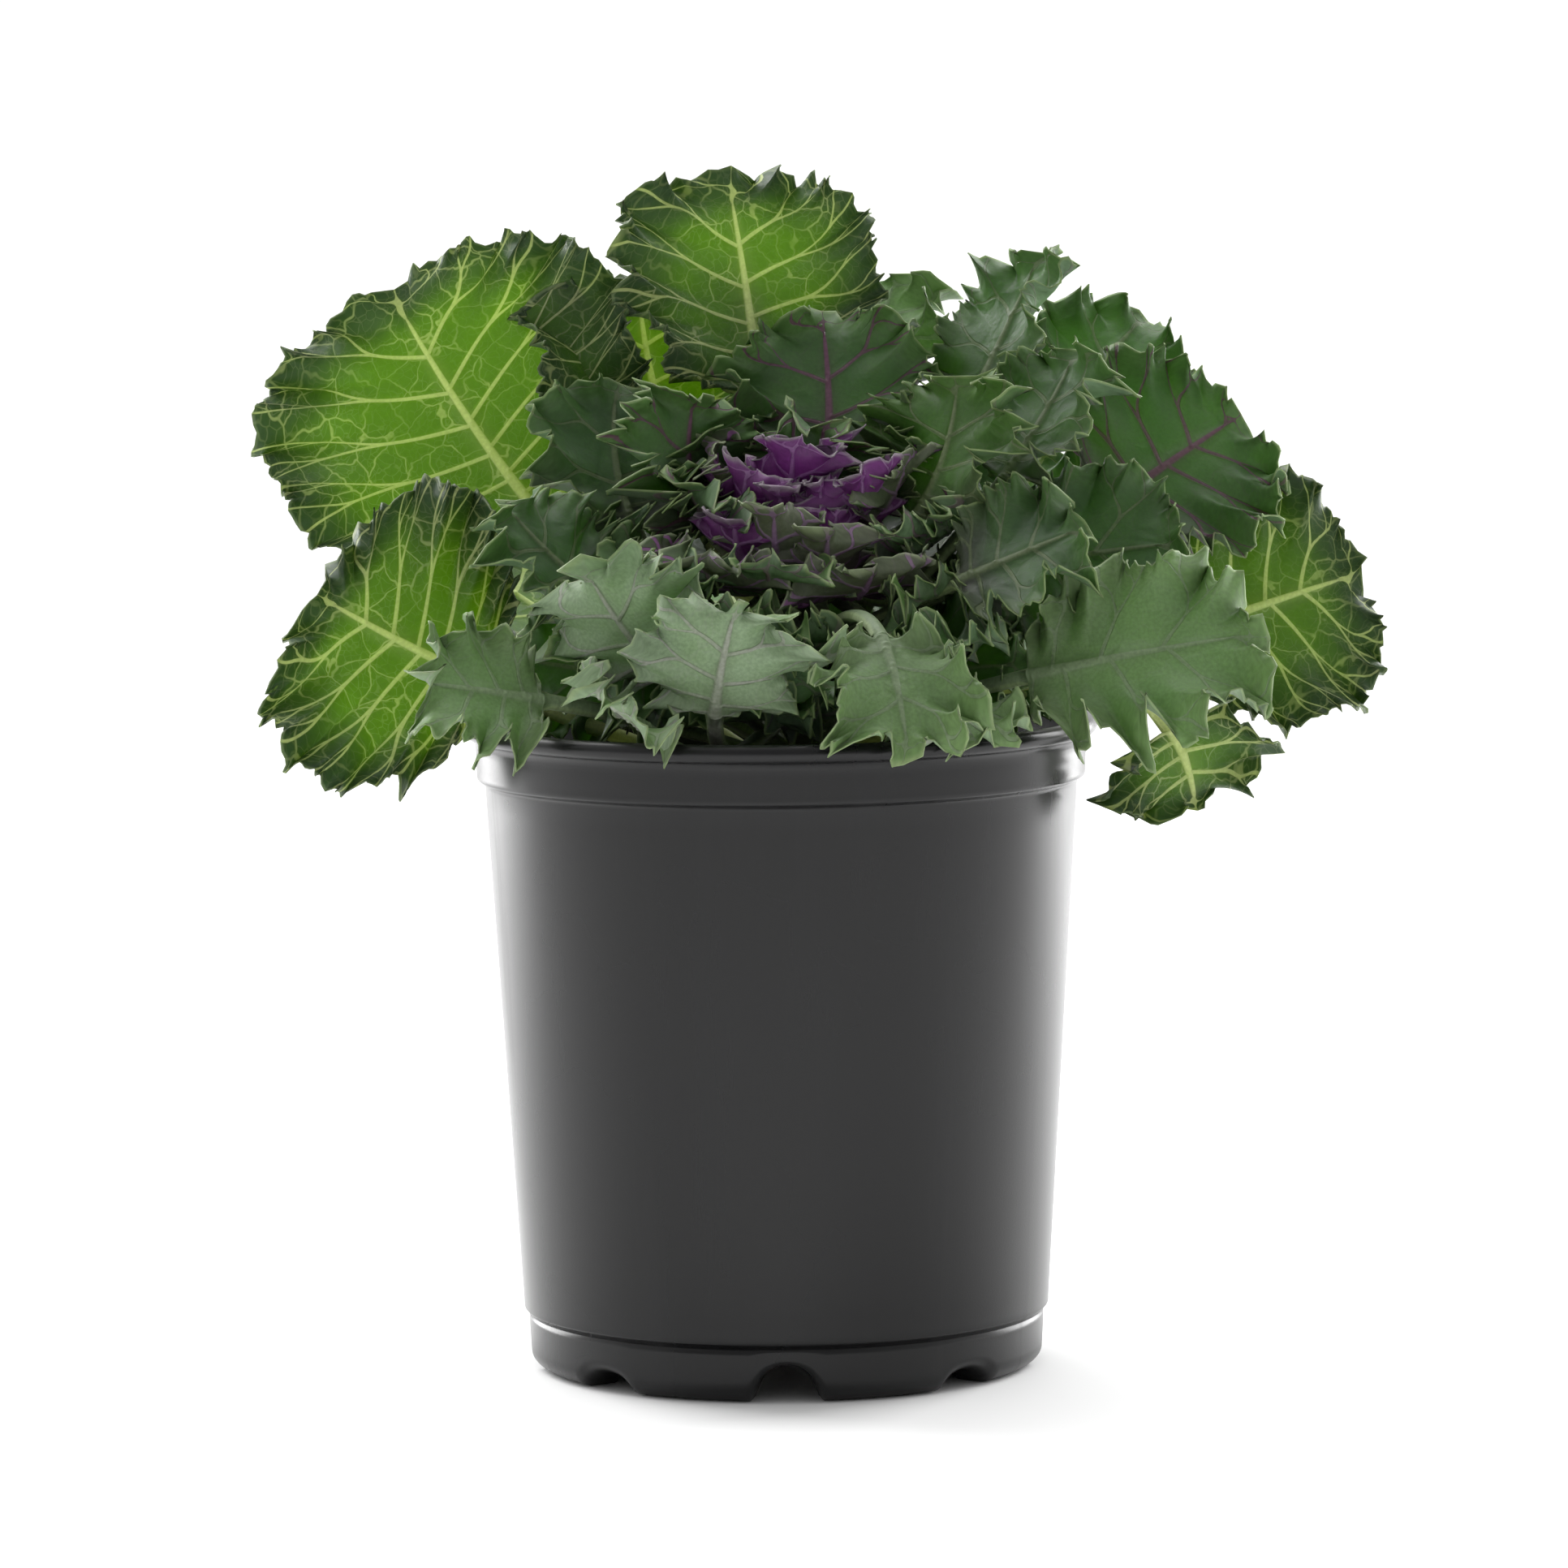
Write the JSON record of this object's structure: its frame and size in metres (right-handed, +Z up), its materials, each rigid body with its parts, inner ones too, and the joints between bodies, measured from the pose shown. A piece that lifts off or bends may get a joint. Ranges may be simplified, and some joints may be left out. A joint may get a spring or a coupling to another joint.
{
  "type": "ornamental kale plant in a pot",
  "caption": "Ornamental kale with frilled blue-green leaves round a purple heart, growing in soil in a round black nursery pot with a rolled rim and footed base.",
  "frame": {"origin": "on the surface the pot stands on, under the middle of the whole object's box; the pot's axis is at x -12.6 mm, y -20.2 mm", "axes": "+Z up, -Y towards the side that the plant's heart leans to, +X to the right of that view"},
  "size_m": [0.3664, 0.2683, 0.3797],
  "materials": {
    "pot_plastic": "satin charcoal moulded plastic",
    "soil": "dark crumbly potting mix",
    "stem": "pale green stem",
    "leaf_outer": "waxy blue-green leaf with pale veins",
    "leaf_inner": "dark frilled leaf with a pale margin",
    "leaf_heart": "purple frilled leaf"
  },
  "bodies": {
    "root": {"pot": "pot_plastic", "soil": "soil", "stem": "stem", "head": "leaf_inner", "heart": "leaf_heart", "leaf_left_high": "leaf_outer", "leaf_back_high": "leaf_outer", "leaf_back_notched": "leaf_outer", "leaf_right_high": "leaf_outer", "leaf_right_inner": "leaf_outer", "leaf_right_frilled": "leaf_outer", "leaf_right_rear": "leaf_outer", "leaf_right_low": "leaf_outer", "leaf_front_right": "leaf_outer", "leaf_right_hanging": "leaf_outer", "leaf_left_low": "leaf_outer", "leaf_front_left_low": "leaf_outer", "leaf_front_left_small": "leaf_outer", "leaf_front": "leaf_outer", "leaf_front_hanging": "leaf_outer", "leaf_front_small": "leaf_outer", "leaf_front_left": "leaf_outer", "leaf_front_inner": "leaf_outer", "leaf_left_inner": "leaf_outer", "leaf_left_middle": "leaf_outer", "leaf_right_middle": "leaf_outer", "leaf_back_low_right": "leaf_outer", "leaf_back_low": "leaf_outer", "leaf_back_low_left": "leaf_outer", "leaf_back_middle_right": "leaf_outer", "leaf_back_middle": "leaf_outer", "leaf_back_middle_left": "leaf_outer"}
  },
  "joints": []
}
